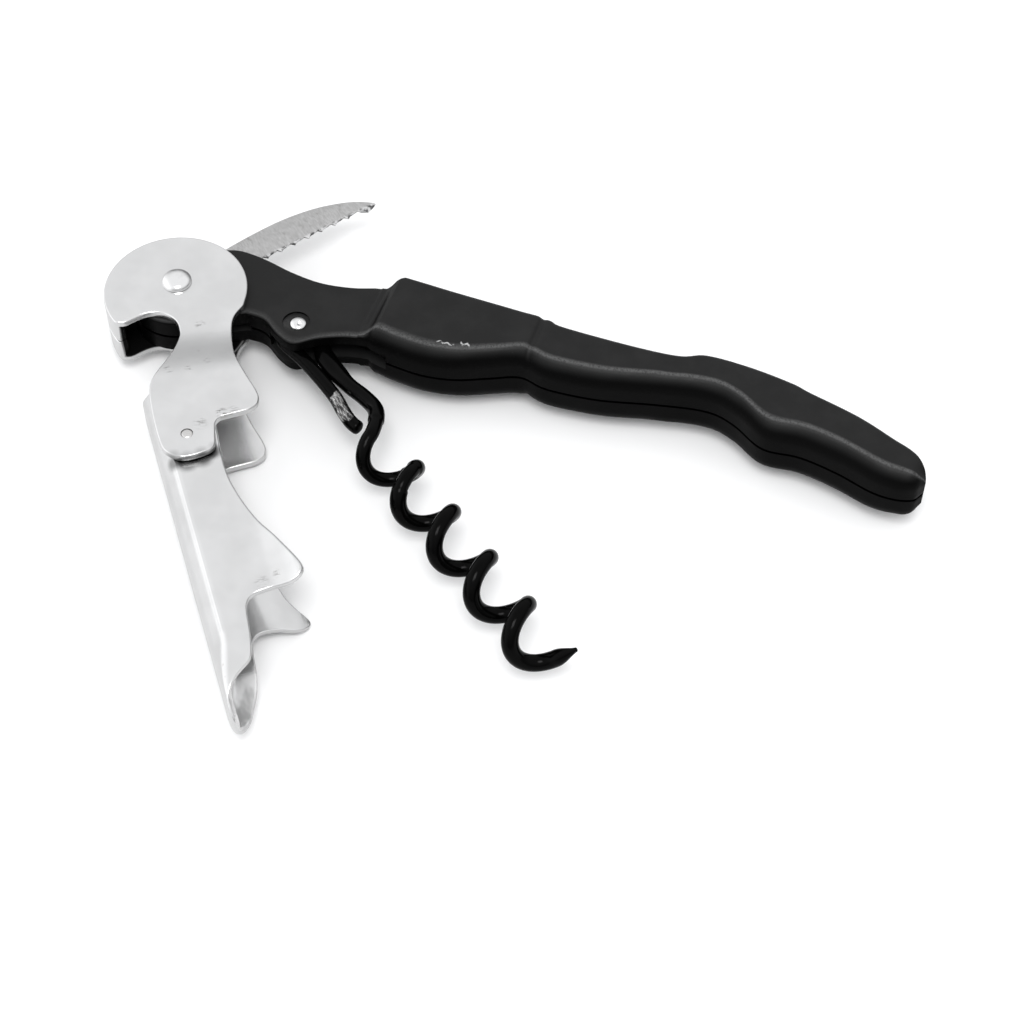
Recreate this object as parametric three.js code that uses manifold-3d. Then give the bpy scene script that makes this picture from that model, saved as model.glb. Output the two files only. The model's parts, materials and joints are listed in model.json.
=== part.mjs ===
// Waiters corkscrew with a two-step lever, lying on its side and opened.
// Millimetres. The origin is on the main pivot axis, on the foot of the main rivet.
// +X runs along the handle, +Z along the pivots, and the worm and levers lie towards -Y.
import * as THREE from "three";
import { mergeVertices } from "three/addons/utils/BufferGeometryUtils.js";
import Module from "manifold-3d";

const wasm = await Module();
wasm.setup();

// ---------------------------------------------------------------- driving dimensions

const GAP = 0.2; // clearance between neighbouring pieces
const FAR = 200; // longer than anything here, for cutting blocks

const NECK_HALF = 3.05; // half thickness of the handle between the lever plates
const GRIP_HALF = 5.2; // half thickness of the grip
const KNUCKLE_RADIUS = 7.1; // end of the handle round the main pivot
const SHOULDER_X = 29.6; // where the neck starts to rise to the grip
const NECK_RIM = 0.6; // rounding along the edges of the neck
const GRIP_RIM = 1.4;
const SEAM_HALF = 0.12; // half the gap between the two halves of the handle, and of the hook
const HANDLE_END_X = 113.6;

const PIVOT_RADIUS = 1.6;
const WORM_PIN_RADIUS = 1.0;
const WORM_PIN_HEAD_RADIUS = 1.25;
const WORM_PIN_RECESS = 0.35; // depth of the recess round each head
const WORM_PIN = new THREE.Vector2(19.6, -0.7);

const FIRST_SHEET = 1.1;
const FIRST_HEAD_INNER = NECK_HALF + GAP;
const RIVET_SEAT = FIRST_HEAD_INNER + FIRST_SHEET + GAP; // under the main rivet's heads
const RIVET_HEAD_HEIGHT = 1.1;
const MID = RIVET_SEAT + RIVET_HEAD_HEIGHT; // height of the plane that every piece is centred on
const JOINT_DISTANCE = 31; // main pivot to lever joint
const JOINT_PIN_RADIUS = 0.8;

const SECOND_SHEET = 0.9;
const SECOND_HALF = 5.2; // half width of the channel outside its cheeks
const FIRST_JOINT_INNER = SECOND_HALF + GAP;
const FIN_HALF = 7.5; // half spread of the flared fins at their tips

const BLADE_HALF = 0.5; // half thickness of the knife
const BLADE_LENGTH = 35.1;

const WIRE_RADIUS = 1.2;
const HELIX_RADIUS = 2.88;
const HELIX_PITCH = 9.38;

// Angles of the moving pieces from +X, as opened.
const FIRST_ANGLE = -63;
const SECOND_ANGLE = -58.3;
const WORM_ANGLE = -37.3;
const KNIFE_ANGLE = 54;

// ---------------------------------------------------------------- geometry helpers

function radians(degrees) {
  return (degrees * Math.PI) / 180;
}

function solidFrom(geometry) {
  const bare = geometry.clone();
  bare.deleteAttribute("normal");
  bare.deleteAttribute("uv");
  const merged = mergeVertices(bare, 1e-4);
  const mesh = new wasm.Mesh({
    numProp: 3,
    vertProperties: new Float32Array(merged.attributes.position.array),
    triVerts: new Uint32Array(merged.index.array),
  });
  return new wasm.Manifold(mesh);
}

function geometryFrom(solid) {
  const mesh = solid.getMesh();
  const geometry = new THREE.BufferGeometry();
  const positions = new THREE.BufferAttribute(new Float32Array(mesh.vertProperties), 3);
  geometry.setAttribute("position", positions);
  geometry.setIndex(new THREE.BufferAttribute(new Uint32Array(mesh.triVerts), 1));
  geometry.computeVertexNormals();
  return geometry;
}

// Stretches of an outline, each a list of points.
function straight(...points) {
  return points.map(([x, y]) => new THREE.Vector2(x, y));
}

function smooth(...points) {
  const stepsBetweenPoints = 4;
  const curve = new THREE.SplineCurve(straight(...points));
  return curve.getPoints(stepsBetweenPoints * (points.length - 1));
}

function arc(x, y, radius, startDegrees, endDegrees) {
  const degreesPerStep = 12;
  const sweep = endDegrees - startDegrees;
  const steps = Math.ceil(Math.abs(sweep) / degreesPerStep);
  const points = [];
  for (let step = 0; step <= steps; step += 1) {
    const angle = radians(startDegrees + (sweep * step) / steps);
    points.push([x + radius * Math.cos(angle), y + radius * Math.sin(angle)]);
  }
  return straight(...points);
}

// A closed shape from stretches that follow each other; joints between them count once.
function shapeOf(...stretches) {
  const joint = 1e-3;
  const outline = [];
  for (const point of stretches.flat()) {
    const previous = outline[outline.length - 1];
    if (!previous || previous.distanceTo(point) > joint) {
      outline.push(point);
    }
  }
  if (outline[0].distanceTo(outline[outline.length - 1]) < joint) {
    outline.pop();
  }
  return new THREE.Shape(outline);
}

// A prism standing on the plane z = bottom.
function prism(shape, bottom, top) {
  const settings = { depth: top - bottom, bevelEnabled: false };
  const geometry = new THREE.ExtrudeGeometry(shape, settings);
  geometry.translate(0, 0, bottom);
  return solidFrom(geometry);
}

// A prism with rounded rims; the outline is its widest section.
function roundedPrism(shape, bottom, top, rim) {
  const settings = {
    depth: top - bottom - 2 * rim,
    bevelSize: rim,
    bevelOffset: -rim,
    bevelThickness: rim,
    bevelSegments: 3,
  };
  const geometry = new THREE.ExtrudeGeometry(shape, settings);
  geometry.translate(0, 0, bottom + rim);
  return solidFrom(geometry);
}

// A side profile drawn in X and Z, drawn out along Y between two values.
function sidePrism(shape, fromY, toY) {
  const settings = { depth: toY - fromY, bevelEnabled: false };
  const geometry = new THREE.ExtrudeGeometry(shape, settings);
  geometry.rotateX(Math.PI / 2);
  geometry.translate(0, toY, 0);
  return solidFrom(geometry);
}

// A section drawn in Y and Z, drawn out along X between two values.
function lengthwisePrism(shape, fromX, toX) {
  const settings = { depth: toX - fromX, bevelEnabled: false };
  const geometry = new THREE.ExtrudeGeometry(shape, settings);
  geometry.rotateX(Math.PI / 2);
  geometry.rotateZ(Math.PI / 2);
  geometry.translate(fromX, 0, 0);
  return solidFrom(geometry);
}

// A turned piece round the vertical axis through (x, y); rows are [radius, z].
function turned(rows, x = 0, y = 0, sides = 32) {
  const points = rows.map(([radius, z]) => new THREE.Vector2(radius, z));
  const geometry = new THREE.LatheGeometry(points, sides);
  geometry.rotateX(Math.PI / 2);
  geometry.translate(x, y, 0);
  return solidFrom(geometry);
}

function bore(radius, x = 0, y = 0, bottom = -FAR, top = FAR) {
  return turned([[0, bottom], [radius, bottom], [radius, top], [0, top]], x, y);
}

function block(fromX, toX, fromY, toY, fromZ, toZ) {
  const corners = [[fromX, fromY], [toX, fromY], [toX, toY], [fromX, toY]];
  return prism(shapeOf(straight(...corners)), fromZ, toZ);
}

function placed(solid, x, y, degrees) {
  return solid.rotate([0, 0, degrees]).translate([x, y, MID]);
}

function joined(...solids) {
  return solids.reduce((whole, next) => whole.add(next));
}

// ---------------------------------------------------------------- materials

const FINISH = {
  nickel: { color: 0xc9cbcc, metalness: 1, roughness: 0.28 },
  rivetSteel: { color: 0xd6d7d8, metalness: 1, roughness: 0.15 },
  blackGrip: { color: 0x17181a, metalness: 0, roughness: 0.5 },
  coatedWire: { color: 0x08080a, metalness: 0, roughness: 0.22 },
  bladeSteel: { color: 0xa9abad, metalness: 1, roughness: 0.4 },
};

const corkscrew = new THREE.Group();
corkscrew.name = "waiters_corkscrew";

function addPiece(name, solid, finish) {
  const material = new THREE.MeshStandardMaterial(FINISH[finish]);
  const mesh = new THREE.Mesh(geometryFrom(solid), material);
  mesh.name = name;
  corkscrew.add(mesh);
}

// ---------------------------------------------------------------- handle
// Handle pieces are drawn with z = 0 on the middle plane and lifted by MID at the end.

function neckOutline() {
  const reach = SHOULDER_X + 5; // runs on inside the grip
  return shapeOf(
    arc(0, 0, KNUCKLE_RADIUS, 106, 318),
    smooth([11.5, -1.4], [14.5, -1.7], [17.5, -3.8], [20.3, -4.7]),
    smooth([20.3, -4.7], [23.4, -2.6], [27, -1.0], [reach, 0.2]),
    smooth([reach, 10.3], [28.6, 9.9], [24.5, 8.6], [19.7, 8.0], [15, 8.5], [10.6, 9.6]),
    smooth([10.6, 9.6], [8.0, 10.05], [5.4, 10.1], [3.0, 9.2], [0.5, 7.8]),
  );
}

function gripOutline() {
  return shapeOf(
    straight([28.5, -0.2], [31.2, -0.9]),
    smooth(
      [31.2, -0.9], [35, -1.6], [39.5, -1.9], [44.3, -1.1], [49, 0.8], [53.2, 2.4],
      [57.5, 1.5], [65, 2.0], [73, 3.8], [80.6, 5.0], [85, 3.9], [90, 1.0],
      [95.5, 1.2], [101, 0.2], [106.5, -1.5], [110, -1.75], [112.4, -1.1],
      [HANDLE_END_X, 0.7], [112.7, 2.7], [110.4, 4.2],
    ),
    smooth(
      [110.4, 4.2], [107.5, 5.2], [101.8, 7.45], [94.5, 9.4], [91.5, 10.3], [85, 11.25],
      [78.6, 11.35], [74.5, 9.9], [66, 9.6], [57, 9.8],
    ),
    straight([54, 10.5], [32, 11.5], [28.5, 9.9]),
  );
}

// The shoulder slopes up from the neck, and the last stretch of the top slopes down.
function gripSideProfile() {
  const rise = GRIP_HALF - NECK_HALF;
  const slopeStart = HANDLE_END_X - 9;
  return shapeOf(
    straight(
      [SHOULDER_X, -NECK_HALF],
      [SHOULDER_X + rise, -GRIP_HALF],
      [slopeStart, -GRIP_HALF],
    ),
    smooth(
      [slopeStart, -GRIP_HALF], [HANDLE_END_X - 3, -GRIP_HALF + 0.9],
      [HANDLE_END_X, -1.8],
    ),
    smooth(
      [HANDLE_END_X, 1.8], [HANDLE_END_X - 3, GRIP_HALF - 0.9],
      [slopeStart, GRIP_HALF],
    ),
    straight([SHOULDER_X + rise, GRIP_HALF], [SHOULDER_X, NECK_HALF]),
  );
}

// A shallow crease runs across each broad face where the second finger rest begins.
function gripCrease(side) {
  const creaseX = 54;
  const depth = 0.35;
  const width = 0.7;
  const z = side * GRIP_HALF;
  const groove = shapeOf(
    straight([creaseX - width, z + side], [creaseX - width, z], [creaseX, z - side * depth],
      [creaseX + width, z], [creaseX + width, z + side]),
  );
  return sidePrism(groove, -FAR, FAR);
}

// Room for the folding knife along the back of the handle.
function knifeSlot() {
  const half = BLADE_HALF + GAP;
  const pocket = shapeOf(
    straight([-9, -6], [8.5, -6], [14.5, 1.6], [36.5, 4.6], [36.5, 14], [-9, 14]),
  );
  return prism(pocket, -half, half);
}

// Room for the eye of the worm and for its swing out of the front of the neck.
function wormSlot() {
  const half = WIRE_RADIUS + GAP;
  const eye = WORM_PIN_RADIUS + 2 * WIRE_RADIUS + 0.4;
  const swing = shapeOf(
    arc(WORM_PIN.x, WORM_PIN.y, eye, 200, 40),
    straight([25.5, 1.3], [32, 0.9], [33.5, -0.6], [33.5, -8], [12, -8], [14.5, -4]),
  );
  return prism(swing, -half, half);
}

// Each end of the worm pin sits in a shallow round recess in the neck.
function wormPinRecess(side) {
  const radius = 2.05;
  const floor = NECK_HALF - WORM_PIN_RECESS;
  return side > 0
    ? bore(radius, WORM_PIN.x, WORM_PIN.y, floor, FAR)
    : bore(radius, WORM_PIN.x, WORM_PIN.y, -FAR, -floor);
}

// Two blind dowels hold the shells together along the grip.
const DOWELS = [new THREE.Vector2(44, 5.2), new THREE.Vector2(92, 5.6)];
const DOWEL_RADIUS = 1.0;
const DOWEL_HALF = 3.2;

function dowelHoles() {
  const half = DOWEL_HALF + GAP;
  const holes = DOWELS.map(({ x, y }) => bore(DOWEL_RADIUS + GAP, x, y, -half, half));
  return joined(...holes);
}

function dowel({ x, y }) {
  return bore(DOWEL_RADIUS, x, y, MID - DOWEL_HALF, MID + DOWEL_HALF);
}

function handleShell(side) {
  const neck = roundedPrism(neckOutline(), -NECK_HALF, NECK_HALF, NECK_RIM);
  const grip = roundedPrism(gripOutline(), -GRIP_HALF, GRIP_HALF, GRIP_RIM)
    .intersect(sidePrism(gripSideProfile(), -FAR, FAR));
  const half = side > 0
    ? block(-FAR, FAR, -FAR, FAR, SEAM_HALF, FAR)
    : block(-FAR, FAR, -FAR, FAR, -FAR, -SEAM_HALF);
  return joined(neck, grip)
    .intersect(half)
    .subtract(gripCrease(side))
    .subtract(knifeSlot())
    .subtract(wormSlot())
    .subtract(bore(PIVOT_RADIUS + GAP))
    .subtract(bore(WORM_PIN_RADIUS + GAP, WORM_PIN.x, WORM_PIN.y))
    .subtract(wormPinRecess(side))
    .subtract(dowelHoles())
    .translate([0, 0, MID]);
}

addPiece("handle_upper_shell", handleShell(1), "blackGrip");
addPiece("handle_lower_shell", handleShell(-1), "blackGrip");

addPiece("shell_dowel_front", dowel(DOWELS[0]), "rivetSteel");
addPiece("shell_dowel_rear", dowel(DOWELS[1]), "rivetSteel");

// ---------------------------------------------------------------- rivets

function mirroredRows(rows) {
  const upper = rows.slice().reverse();
  const lower = rows.map(([radius, z]) => [radius, -z]);
  return [...lower, ...upper];
}

// The heads are low domes with a small flat crown.
function mainRivet() {
  const crown = RIVET_SEAT + RIVET_HEAD_HEIGHT;
  const head = [[0, crown], [0.9, crown], [1.6, crown - 0.22], [2.1, crown - 0.62]];
  return turned(mirroredRows([...head, [2.2, RIVET_SEAT], [PIVOT_RADIUS, RIVET_SEAT]]));
}

// The worm pin is domed and dimpled, and stays below the levers that fold over it.
function wormPin() {
  const seat = NECK_HALF - WORM_PIN_RECESS + 0.05;
  const top = NECK_HALF + 0.45;
  const head = [[0, top], [0.6, top - 0.1], [1.0, top - 0.3], [WORM_PIN_HEAD_RADIUS, seat + 0.15]];
  const shank = [[WORM_PIN_HEAD_RADIUS, seat], [WORM_PIN_RADIUS, seat]];
  const dimple = bore(0.28, 0.25, -0.2, top - 0.4, top + 1);
  const pin = turned(mirroredRows([...head, ...shank])).subtract(dimple);
  return pin.translate([WORM_PIN.x, WORM_PIN.y, 0]);
}

// The joint pin is ground flush with both lever plates.
function jointPin() {
  const half = FIRST_JOINT_INNER + FIRST_SHEET;
  return bore(JOINT_PIN_RADIUS, 0, 0, -half, half);
}

addPiece("main_rivet", mainRivet().translate([0, 0, MID]), "rivetSteel");
addPiece("worm_pin", wormPin().translate([0, 0, MID]), "rivetSteel");

// ---------------------------------------------------------------- first lever
// Its own frame: origin on the main pivot, +X towards the lever joint.

const HEAD_CENTRE = new THREE.Vector2(1.4, -0.3);
const HEAD_RADIUS = 10.65;

function firstLeverOutline() {
  return shapeOf(
    arc(HEAD_CENTRE.x, HEAD_CENTRE.y, HEAD_RADIUS, 68, 303),
    smooth([7.0, -8.0], [5.8, -5.5], [5.6, -3.4], [6.4, -1.6], [8.1, -0.4], [10.3, -0.1]),
    smooth([10.3, -0.1], [13, -0.9], [16.5, -2.4], [20.2, -4.4], [22.8, -4.9], [25.4, -4.8]),
    smooth([25.4, -4.8], [28.6, -4.35], [32, -3.65], [34.6, -1.7], [35.1, 1.1], [33.4, 3.3]),
    straight([31.9, 3.75], [29.2, 4.05], [28, 4.6], [27.6, 7.2], [27.2, 9.4], [26.6, 10.2]),
    straight([25.5, 10.5], [23.8, 10.0]),
    smooth([23.8, 10.0], [21, 8.9], [15.5, 7.5], [11, 7.4], [8, 7.9], [5.65, 9.7]),
  );
}

// Each plate steps outwards between the head and the joint, to clear the second lever.
function firstLeverSideProfile(side) {
  const bendStart = 11.5;
  const bendEnd = 18.5;
  const inner = [
    [-12, FIRST_HEAD_INNER], [bendStart, FIRST_HEAD_INNER],
    [bendEnd, FIRST_JOINT_INNER], [40, FIRST_JOINT_INNER],
  ];
  const outer = inner.map(([x, z]) => [x, z + FIRST_SHEET]).reverse();
  const profile = [...inner, ...outer].map(([x, z]) => [x, side * z]);
  return shapeOf(straight(...profile));
}

// The wall of the cap hook is bent in from the plate and stops short of the middle.
function hookWall(side) {
  const wall = prism(
    shapeOf(
      arc(HEAD_CENTRE.x, HEAD_CENTRE.y, HEAD_RADIUS, 234, 303),
      arc(HEAD_CENTRE.x, HEAD_CENTRE.y, HEAD_RADIUS - FIRST_SHEET, 303, 234),
    ),
    SEAM_HALF,
    FIRST_HEAD_INNER + GAP,
  );
  return side > 0 ? wall : wall.mirror([0, 0, 1]);
}

function firstLeverPlate(side) {
  const plate = prism(firstLeverOutline(), -FAR, FAR)
    .intersect(sidePrism(firstLeverSideProfile(side), -FAR, FAR))
    .add(hookWall(side))
    .subtract(bore(PIVOT_RADIUS + GAP))
    .subtract(bore(JOINT_PIN_RADIUS + GAP, JOINT_DISTANCE));
  return placed(plate, 0, 0, FIRST_ANGLE);
}

addPiece("first_lever_upper_plate", firstLeverPlate(1), "nickel");
addPiece("first_lever_lower_plate", firstLeverPlate(-1), "nickel");

// ---------------------------------------------------------------- second lever
// Its own frame: origin on the lever joint, +X towards the tip.

const JOINT = new THREE.Vector2(JOINT_DISTANCE, 0).rotateAround(
  new THREE.Vector2(),
  radians(FIRST_ANGLE),
);
const WEB_TILT = 4.5; // the back of the channel leans in towards the tip
const TIP_X = 45.6;

// Half of the channel section in Y and Z: back, slanted corner, cheek, then flared fin.
const OUTER_SECTION = [
  [-4.65, 0], [-4.65, 2.9], [-2.6, SECOND_HALF], [3.2, SECOND_HALF],
  [5.6, 5.6], [8.2, 6.45], [10.2, FIN_HALF], [12.4, FIN_HALF + 0.6],
];
const INNER_SECTION = [
  [-3.75, 0], [-3.75, 2.5], [-2.2, SECOND_HALF - SECOND_SHEET],
  [3.4, SECOND_HALF - SECOND_SHEET], [5.9, 4.75], [8.6, 5.65],
  [10.7, FIN_HALF - 0.75], [12.4, FIN_HALF - 0.3],
];

function channelSection(halfSection) {
  const lower = halfSection.slice(1).reverse().map(([y, z]) => [y, -z]);
  const section = shapeOf(straight(...lower, ...halfSection));
  return lengthwisePrism(section, -FAR, FAR).rotate([0, 0, WEB_TILT]);
}

// Seen from the back the channel closes to a rounded tip.
function tipOutline(inset) {
  const wide = 9;
  const side = [[33, SECOND_HALF], [37.5, 4.9], [41, 4.1], [43.5, 2.9], [45, 1.5], [TIP_X, 0]];
  const upper = side.map(([x, z]) => [x - inset, Math.max(z - inset, 0)]);
  const lower = upper.slice(0, -1).map(([x, z]) => [x, -z]);
  const bow = smooth(...lower, ...upper.slice().reverse());
  return shapeOf(
    straight([-30, -wide], [30 - inset, -wide], lower[0]),
    bow,
    straight([30 - inset, wide], [-30, wide]),
  );
}

// The rim of the spoon at the tip is cut lower on the upper cheek than on the lower one,
// and the edge of the fin is hollower on the lower one.
function cheekOutline(side) {
  const finEdge = side > 0 ? [[24.2, 11.1], [20, 9.2]] : [[24.3, 10.2], [22.1, 8.95], [19, 8.05]];
  const spoonRim = side > 0
    ? [[TIP_X, -0.3], [44.2, -0.8], [42.2, -0.8], [40.3, 0.2], [38.9, 1.7], [37.7, 3.0]]
    : [[TIP_X, -0.3], [44.2, 0.4], [41.8, 1.6], [39.4, 2.4], [37.6, 3.0]];
  return shapeOf(
    straight([-10.5, -8], [TIP_X + 1, -8], [TIP_X + 1, -0.3]),
    smooth(...spoonRim, [34.5, 3.5], [30.8, 3.6]),
    smooth([30.8, 3.6], [29.2, 3.9], [28.2, 4.9], [27.9, 7.3], [28.1, 9.7], [27.5, 11.3]),
    smooth([27.5, 11.3], [26.4, 11.8], ...finEdge, [16, 7.1], [11, 5.3]),
    smooth([11, 5.3], [7, 4.4], [3, 4.1], [-2, 4.1]),
    smooth([-2, 4.1], [-6, 3.2], [-9, 0.4], [-10.5, -3]),
  );
}

function secondLeverChannel() {
  const outside = channelSection(OUTER_SECTION)
    .intersect(sidePrism(tipOutline(0), -FAR, FAR));
  const inside = channelSection(INNER_SECTION)
    .intersect(sidePrism(tipOutline(SECOND_SHEET), -FAR, FAR));
  const channel = outside
    .subtract(inside)
    .intersect(joined(prism(cheekOutline(-1), -FAR, 0), prism(cheekOutline(1), 0, FAR)))
    .subtract(bore(JOINT_PIN_RADIUS + GAP));
  return placed(channel, JOINT.x, JOINT.y, SECOND_ANGLE);
}

addPiece("second_lever_channel", secondLeverChannel(), "nickel");
addPiece("lever_joint_pin", placed(jointPin(), JOINT.x, JOINT.y, 0), "rivetSteel");

// ---------------------------------------------------------------- knife
// Its own frame: origin on the main pivot, +X along the toothed edge.

function serratedEdge() {
  const start = 14.4;
  const pitch = 1.5;
  const depth = 0.6;
  const teeth = 12;
  const points = [];
  for (let tooth = 0; tooth < teeth; tooth += 1) {
    const x = start + tooth * pitch;
    points.push([x, 0], [x + 0.35 * pitch, depth], [x + 0.65 * pitch, depth]);
  }
  return straight(...points, [start + teeth * pitch, 0]);
}

function knifeBlade() {
  const tang = 3.6;
  const outline = shapeOf(
    arc(0, 0, tang, 100, 285),
    straight([10, -1.8], [13.4, -1.1]),
    serratedEdge(),
    straight([BLADE_LENGTH, 0.2]),
    smooth([BLADE_LENGTH - 0.1, 0.6], [32.9, 2.0], [29.9, 3.4], [26.5, 4.5], [22, 5.2]),
    smooth([22, 5.2], [17.3, 5.3], [11, 4.9], [5, 4.0]),
  );
  const blade = prism(outline, -BLADE_HALF, BLADE_HALF).subtract(bore(PIVOT_RADIUS + GAP));
  return placed(blade, 0, 0, KNIFE_ANGLE);
}

addPiece("knife_blade", knifeBlade(), "bladeSteel");

// ---------------------------------------------------------------- worm
// Its own frame: origin on the worm pin, +X towards the point.

const HELIX_AXIS_Y = -1.82;
const HELIX_START_X = 23.65; // on top of the first turn
const HELIX_END_X = 67.45;

function helixPoint(x) {
  const phase = (2 * Math.PI * (x - HELIX_START_X)) / HELIX_PITCH;
  const y = HELIX_AXIS_Y - HELIX_RADIUS * Math.sin(phase);
  const z = HELIX_RADIUS * Math.cos(phase);
  return new THREE.Vector3(x, y, z);
}

// The wire starts beside the first turn, runs back round the pin and on into the helix.
function wirePath() {
  const eye = WORM_PIN_RADIUS + WIRE_RADIUS + 0.15;
  const tail = [[18.9, -1.75], [14, -1.45], [9.5, -1.4], [5.5, -1.65], [2.6, -2.05]];
  const neck = [
    [2.6, 1.85, 0], [5.5, 1.15, 0], [9, 1.05, 0.05], [12.5, 1.2, 0.35],
    [15.8, 1.65, 0.75], [19, 1.5, 1.3], [21.6, 0.1, 2.25],
  ];
  const points = tail.map(([x, y]) => new THREE.Vector3(x, y, 0));
  for (let angle = 270; angle >= 90; angle -= 30) {
    const turn = radians(angle);
    points.push(new THREE.Vector3(eye * Math.cos(turn), eye * Math.sin(turn), 0));
  }
  points.push(...neck.map(([x, y, z]) => new THREE.Vector3(x, y, z)));
  const samplesPerTurn = 12;
  for (let x = HELIX_START_X; x <= HELIX_END_X; x += HELIX_PITCH / samplesPerTurn) {
    points.push(helixPoint(x));
  }
  return new THREE.CatmullRomCurve3(points);
}

function roundSection(radius, sides) {
  return shapeOf(straight(
    ...Array.from({ length: sides }, (_, side) => {
      const angle = (2 * Math.PI * side) / sides;
      return [radius * Math.cos(angle), radius * Math.sin(angle)];
    }),
  ));
}

function wire(path, radius) {
  const sides = 10;
  const settings = { steps: 170, bevelEnabled: false, extrudePath: path };
  return solidFrom(new THREE.ExtrudeGeometry(roundSection(radius, sides), settings));
}

// The free end tapers to a blunt point.
function wirePoint(path) {
  const length = 2.8;
  const overlap = 0.4; // how far the point reaches back into the wire
  const shoulder = WIRE_RADIUS * 0.97;
  const profile = [
    [0, -overlap], [shoulder, -overlap], [shoulder, 0],
    [0.8, length * 0.55], [0.35, length * 0.92], [0, length],
  ];
  const geometry = new THREE.LatheGeometry(straight(...profile), 12);
  const end = path.getPoint(1);
  const heading = path.getTangent(1);
  const turn = new THREE.Quaternion().setFromUnitVectors(new THREE.Vector3(0, 1, 0), heading);
  geometry.applyQuaternion(turn);
  geometry.translate(end.x, end.y, end.z);
  return solidFrom(geometry);
}

function worm() {
  const path = wirePath();
  const solid = wire(path, WIRE_RADIUS).add(wirePoint(path));
  return placed(solid, WORM_PIN.x, WORM_PIN.y, WORM_ANGLE);
}

addPiece("worm", worm(), "coatedWire");

export default corkscrew;
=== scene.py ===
"""Looks of a waiters corkscrew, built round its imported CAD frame.

Shapes are drawn in millimetres in the CAD frame and become metres when a mesh is made.
Each moving piece is drawn in its own frame: origin on its pivot, middle plane at z = 0.
"""

import json
import math

import bmesh
import bpy
from mathutils import Matrix, Vector, noise


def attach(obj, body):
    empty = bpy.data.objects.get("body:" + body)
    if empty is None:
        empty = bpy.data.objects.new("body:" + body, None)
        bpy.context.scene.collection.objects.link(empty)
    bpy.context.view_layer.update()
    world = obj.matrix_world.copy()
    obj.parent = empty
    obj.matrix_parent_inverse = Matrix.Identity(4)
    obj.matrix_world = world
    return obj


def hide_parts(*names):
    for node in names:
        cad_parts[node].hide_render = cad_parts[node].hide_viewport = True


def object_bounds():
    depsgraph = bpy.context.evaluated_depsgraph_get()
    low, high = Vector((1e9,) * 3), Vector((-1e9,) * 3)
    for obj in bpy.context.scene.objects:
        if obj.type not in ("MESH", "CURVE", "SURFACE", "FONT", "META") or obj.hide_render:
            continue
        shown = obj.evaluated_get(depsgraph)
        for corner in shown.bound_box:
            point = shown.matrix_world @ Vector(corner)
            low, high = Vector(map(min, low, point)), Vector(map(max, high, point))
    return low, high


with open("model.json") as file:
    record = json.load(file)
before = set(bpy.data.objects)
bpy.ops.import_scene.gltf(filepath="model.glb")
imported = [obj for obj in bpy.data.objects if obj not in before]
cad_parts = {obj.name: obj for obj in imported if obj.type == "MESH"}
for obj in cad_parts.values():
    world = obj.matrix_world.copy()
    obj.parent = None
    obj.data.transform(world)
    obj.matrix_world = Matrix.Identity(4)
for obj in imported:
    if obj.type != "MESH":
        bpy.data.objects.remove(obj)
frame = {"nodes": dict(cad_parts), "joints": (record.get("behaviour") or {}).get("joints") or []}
cad_low, cad_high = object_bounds()

# -------- driving dimensions

MM = 0.001

HINGES = {joint["name"]: Vector(joint["pos_m"]) / MM for joint in frame["joints"]}
MAIN_PIVOT = HINGES["first_lever_hinge"]
LEVER_JOINT = HINGES["second_lever_hinge"]
WORM_PIN = HINGES["worm_hinge"]
MID = MAIN_PIVOT.z  # height of the plane that every piece is centred on

FIRST_ANGLE = math.degrees(math.atan2(LEVER_JOINT.y, LEVER_JOINT.x))
SECOND_ANGLE = -58.3
WORM_ANGLE = -37.3
KNIFE_ANGLE = 54.0

CLEARANCE = 0.2  # room between pieces that turn past each other
NECK_HALF = 3.05
GRIP_HALF = 5.2
KNUCKLE_RADIUS = 7.1
SHOULDER_X = 29.6
CREASE_X = 54.0  # fold line across the grip
HANDLE_END_X = 113.6
SEAM_HALF = 0.12

SHEET = 1.1  # first lever
HEAD_INNER = NECK_HALF + CLEARANCE
HEAD_CENTRE = Vector((1.4, -0.3))
HEAD_RADIUS = 10.65
RIVET_SEAT = HEAD_INNER + SHEET + 0.04
RIVET_SHAFT = 1.6

CHANNEL_SHEET = 0.9
CHANNEL_HALF = 5.2
CHANNEL_TILT = 4.5
CHANNEL_TIP_X = 45.6
JOINT_INNER = CHANNEL_HALF + CLEARANCE
JOINT_BORE = 0.87

BLADE_HALF = 0.5
BLADE_LENGTH = 35.1
TEETH_START = 13.0

WIRE_RADIUS = 1.2
WIRE_STEP = 0.3
HELIX_RADIUS = 2.88
HELIX_PITCH = 9.38
HELIX_AXIS_Y = -1.82
HELIX_START_X = 23.65
HELIX_END_X = 67.45


# -------- curves and outlines


def smoothstep(low, high, value):
    share = min(max((value - low) / (high - low), 0.0), 1.0)
    return share * share * (3 - 2 * share)


def corners(*points):
    return [Vector(point) for point in points]


def quarter_turn(steps):
    """Angles from 0 to 90 degrees, in radians."""
    return [math.pi / 2 * step / steps for step in range(steps + 1)]


def spline(*points, steps=8):
    """Points of a smooth curve that passes through the given ones."""
    knots = corners(*points)
    last = len(knots) - 1
    curve = []
    for index in range(last):
        before = knots[max(index - 1, 0)]
        start = knots[index]
        end = knots[index + 1]
        after = knots[min(index + 2, last)]
        for step in range(steps):
            t = step / steps
            leave = (end - before) * 0.5
            arrive = (after - start) * 0.5
            curve.append(
                start * (2 * t**3 - 3 * t**2 + 1)
                + leave * (t**3 - 2 * t**2 + t)
                + end * (3 * t**2 - 2 * t**3)
                + arrive * (t**3 - t**2)
            )
    curve.append(knots[last])
    return curve


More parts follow.
